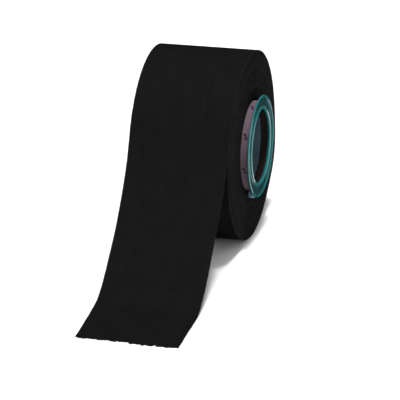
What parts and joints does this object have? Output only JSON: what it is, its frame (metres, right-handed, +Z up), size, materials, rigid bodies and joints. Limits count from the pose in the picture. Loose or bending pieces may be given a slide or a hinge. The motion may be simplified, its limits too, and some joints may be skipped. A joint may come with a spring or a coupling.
{
  "type": "grip tape roll",
  "caption": "Roll of black woven cotton grip tape on a cardboard core with plastic end rings, standing on its edge with a loose tail running down to the floor.",
  "frame": {"origin": "centre of the spindle bore, half way across the tape's width", "axes": "+X along the roll's axis out of the visible end ring, -Y the way the loose tail runs, +Z up; the roll stands on its edge on the plane Z = -0.03616 m"},
  "size_m": [0.0452, 0.1426, 0.0724],
  "materials": {
    "tape_cloth": "matt woven cotton",
    "core_board": "uncoated printed cardboard",
    "liner_plastic": "satin",
    "ring_plastic": "glossy, slightly translucent"
  },
  "bodies": {
    "roll": {"tape_windings": "tape_cloth", "outer_lap": "tape_cloth", "tail_lead": "tape_cloth", "core_tube": "core_board", "core_liner": "liner_plastic", "near_end_ring": "ring_plastic", "far_end_ring": "ring_plastic"},
    "tail_upper": {"tail_upper": "tape_cloth"},
    "tail_lower": {"tail_middle": "tape_cloth", "tail_foot": "tape_cloth"},
    "tail_end": {"tail_end": "tape_cloth"}
  },
  "joints": [
    {"name": "tail_peel", "type": "hinge", "parent": "roll", "child": "tail_upper", "pos_m": [0, -0.03514, 0.00983], "axis": [-1, 0, 0], "range_deg": [0, 40]},
    {"name": "tail_bend", "type": "hinge", "parent": "tail_upper", "child": "tail_lower", "pos_m": [0, -0.05041, -0.01154], "axis": [-1, 0, 0], "range_deg": [0, 30]},
    {"name": "tail_curl", "type": "hinge", "parent": "tail_lower", "child": "tail_end", "pos_m": [0, -0.09193, -0.036], "axis": [-1, 0, 0], "range_deg": [0, 60]}
  ]
}
